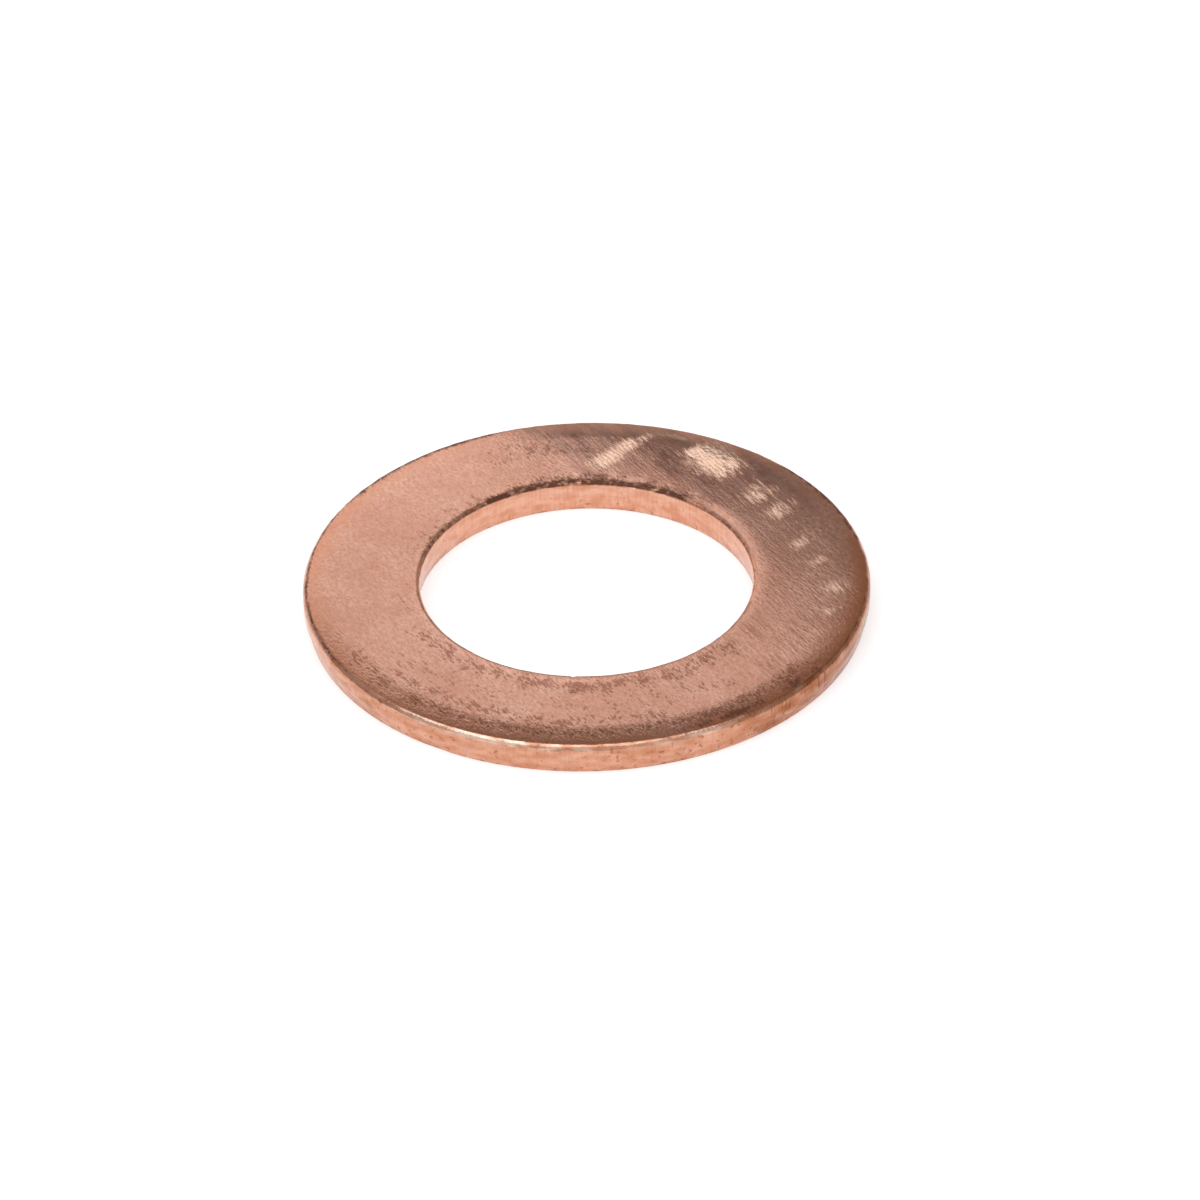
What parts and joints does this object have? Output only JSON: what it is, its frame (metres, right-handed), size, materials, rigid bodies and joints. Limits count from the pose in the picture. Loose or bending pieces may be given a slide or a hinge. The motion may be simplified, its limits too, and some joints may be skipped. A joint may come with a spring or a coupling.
{
  "type": "copper crush washer",
  "caption": "Flat soft copper sealing ring, blanked from sheet, that is crushed under a drain plug or banjo bolt to seal it.",
  "frame": {"origin": "centre of the bore at the lower face", "axes": "+Z along the bore axis, from the lower face with the sharp edges to the upper face with the rolled edges"},
  "size_m": [0.024, 0.024, 0.0015],
  "materials": {
    "copper": "rolled and tumbled, satin"
  },
  "bodies": {
    "root": {"washer": "copper"}
  },
  "joints": []
}
